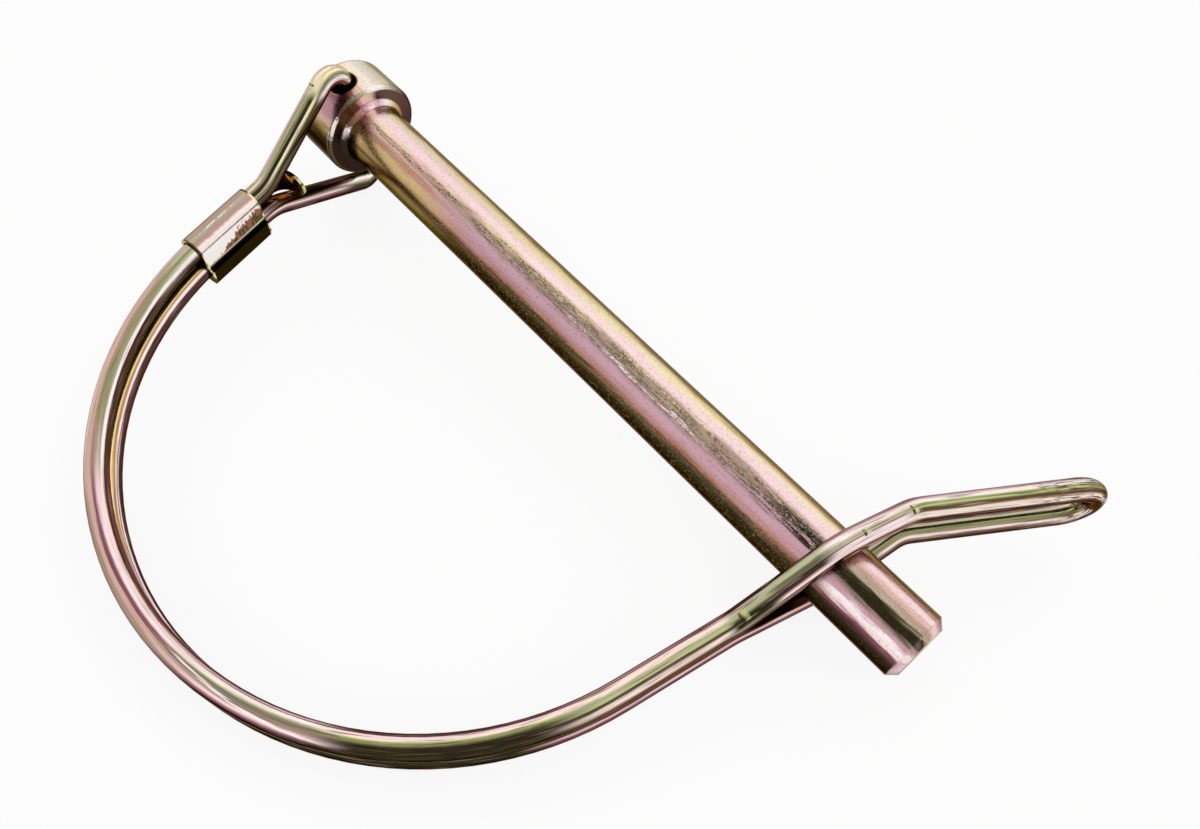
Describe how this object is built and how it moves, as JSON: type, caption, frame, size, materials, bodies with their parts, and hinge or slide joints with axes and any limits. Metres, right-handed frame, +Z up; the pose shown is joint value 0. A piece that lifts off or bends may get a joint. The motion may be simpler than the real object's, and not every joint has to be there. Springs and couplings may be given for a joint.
{
  "type": "wire bail locking pin",
  "caption": "Straight steel pin with a round head and a D-shaped doubled wire bail that hinges on the head and snaps over the tip to lock it.",
  "frame": {"origin": "centre of the head's shoulder face, on the axis of the shank", "axes": "+X along the shank towards the tip, 2.9 degrees down with the lie; +Z up from the floor that the loose part rests on; the bow of the bail lies towards -Y"},
  "size_m": [0.1017, 0.0839, 0.021],
  "materials": {
    "pin": "satin yellow-iridescent zinc plating on turned steel",
    "wire": "glossy yellow-iridescent zinc plating on drawn spring wire",
    "ferrule": "glossy yellow-iridescent zinc plating on folded sheet"
  },
  "bodies": {
    "pin": {"pin": "pin"},
    "bail": {"wire_bail": "wire", "ferrule": "ferrule"}
  },
  "joints": [
    {"name": "bail_swing", "type": "hinge", "parent": "pin", "child": "bail", "pos_m": [-0.0033, -0.00002, 0.00017], "axis": [-0.0503, 0.2112, -0.9761], "range_deg": [0, 255], "deforming": ["wire_bail"]}
  ]
}
